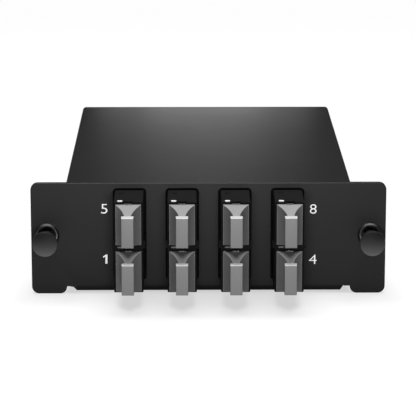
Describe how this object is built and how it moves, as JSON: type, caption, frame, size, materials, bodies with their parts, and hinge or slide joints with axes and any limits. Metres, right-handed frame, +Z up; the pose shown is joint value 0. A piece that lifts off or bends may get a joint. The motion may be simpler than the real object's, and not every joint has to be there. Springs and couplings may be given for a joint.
{
  "type": "fibre cassette",
  "caption": "Flat folded-sheet fibre cassette with a wide front panel of capped push-on couplers, capped couplers at the rear, push-pull latches in its ears and fibre leads inside.",
  "frame": {"origin": "under the middle of the box round the whole part, at the height of the ears' feet", "axes": "+X to the right along the panel as seen from the front, +Y from the panel to the rear, +Z up"},
  "size_m": [0.096, 0.1574, 0.0308],
  "materials": {
    "powder_black": "fine-textured satin powder coat",
    "screw_black": "black zinc",
    "latch_black": "moulded, satin",
    "coupler_black": "moulded, satin",
    "cap_grey": "moulded, matt",
    "plug_aqua": "moulded, satin",
    "ferrule_dark": "ground and polished",
    "boot_black": "soft, matt",
    "fibre_jacket": "soft jacket, satin"
  },
  "bodies": {
    "case": {"chassis": "powder_black", "top_cover": "powder_black", "cover_screws": "screw_black", "latch_grommet_left": "latch_black", "latch_grommet_right": "latch_black", "front_coupler_1": "coupler_black", "front_inner_plug_1": "plug_aqua", "front_coupler_2": "coupler_black", "front_inner_plug_2": "plug_aqua", "front_coupler_3": "coupler_black", "front_inner_plug_3": "plug_aqua", "front_coupler_4": "coupler_black", "front_inner_plug_4": "plug_aqua", "front_coupler_5": "coupler_black", "front_inner_plug_5": "plug_aqua", "front_coupler_6": "coupler_black", "front_inner_plug_6": "plug_aqua", "front_coupler_7": "coupler_black", "front_inner_plug_7": "plug_aqua", "front_coupler_8": "coupler_black", "front_inner_plug_8": "plug_aqua", "front_ferrules": "ferrule_dark", "front_boots": "boot_black", "rear_coupler_1": "coupler_black", "rear_inner_plug_1": "plug_aqua", "rear_coupler_2": "coupler_black", "rear_inner_plug_2": "plug_aqua", "rear_coupler_3": "coupler_black", "rear_inner_plug_3": "plug_aqua", "rear_coupler_4": "coupler_black", "rear_inner_plug_4": "plug_aqua", "rear_ferrules": "ferrule_dark", "rear_boots": "boot_black", "fibre_lead_1": "fibre_jacket", "fibre_lead_2": "fibre_jacket", "fibre_lead_3": "fibre_jacket", "fibre_lead_4": "fibre_jacket", "fibre_lead_5": "fibre_jacket", "fibre_lead_6": "fibre_jacket", "fibre_lead_7": "fibre_jacket", "fibre_lead_8": "fibre_jacket", "coupler_spacer_1": "coupler_black", "coupler_spacer_2": "coupler_black", "coupler_spacer_3": "coupler_black", "coupler_spacer_4": "coupler_black"},
    "front_cap_1": {"front_dust_cap_1": "cap_grey"},
    "front_cap_2": {"front_dust_cap_2": "cap_grey"},
    "front_cap_3": {"front_dust_cap_3": "cap_grey"},
    "front_cap_4": {"front_dust_cap_4": "cap_grey"},
    "front_cap_5": {"front_dust_cap_5": "cap_grey"},
    "front_cap_6": {"front_dust_cap_6": "cap_grey"},
    "front_cap_7": {"front_dust_cap_7": "cap_grey"},
    "front_cap_8": {"front_dust_cap_8": "cap_grey"},
    "rear_cap_1": {"rear_dust_cap_1": "cap_grey"},
    "rear_cap_2": {"rear_dust_cap_2": "cap_grey"},
    "rear_cap_3": {"rear_dust_cap_3": "cap_grey"},
    "rear_cap_4": {"rear_dust_cap_4": "cap_grey"},
    "plunger_left": {"latch_plunger_left": "latch_black"},
    "plunger_right": {"latch_plunger_right": "latch_black"}
  },
  "joints": [
    {"name": "front_cap_1_pull", "type": "slide", "parent": "case", "child": "front_cap_1", "axis": [0, -1, 0], "range_m": [0, 0.015]},
    {"name": "front_cap_2_pull", "type": "slide", "parent": "case", "child": "front_cap_2", "axis": [0, -1, 0], "range_m": [0, 0.015]},
    {"name": "front_cap_3_pull", "type": "slide", "parent": "case", "child": "front_cap_3", "axis": [0, -1, 0], "range_m": [0, 0.015]},
    {"name": "front_cap_4_pull", "type": "slide", "parent": "case", "child": "front_cap_4", "axis": [0, -1, 0], "range_m": [0, 0.015]},
    {"name": "front_cap_5_pull", "type": "slide", "parent": "case", "child": "front_cap_5", "axis": [0, -1, 0], "range_m": [0, 0.015]},
    {"name": "front_cap_6_pull", "type": "slide", "parent": "case", "child": "front_cap_6", "axis": [0, -1, 0], "range_m": [0, 0.015]},
    {"name": "front_cap_7_pull", "type": "slide", "parent": "case", "child": "front_cap_7", "axis": [0, -1, 0], "range_m": [0, 0.015]},
    {"name": "front_cap_8_pull", "type": "slide", "parent": "case", "child": "front_cap_8", "axis": [0, -1, 0], "range_m": [0, 0.015]},
    {"name": "rear_cap_1_pull", "type": "slide", "parent": "case", "child": "rear_cap_1", "axis": [0, 1, 0], "range_m": [0, 0.015]},
    {"name": "rear_cap_2_pull", "type": "slide", "parent": "case", "child": "rear_cap_2", "axis": [0, 1, 0], "range_m": [0, 0.015]},
    {"name": "rear_cap_3_pull", "type": "slide", "parent": "case", "child": "rear_cap_3", "axis": [0, 1, 0], "range_m": [0, 0.015]},
    {"name": "rear_cap_4_pull", "type": "slide", "parent": "case", "child": "rear_cap_4", "axis": [0, 1, 0], "range_m": [0, 0.015]},
    {"name": "latch_left_push", "type": "slide", "parent": "case", "child": "plunger_left", "axis": [0, 1, 0], "range_m": [0, 0.005]},
    {"name": "latch_right_push", "type": "slide", "parent": "case", "child": "plunger_right", "axis": [0, 1, 0], "range_m": [0, 0.005]}
  ]
}
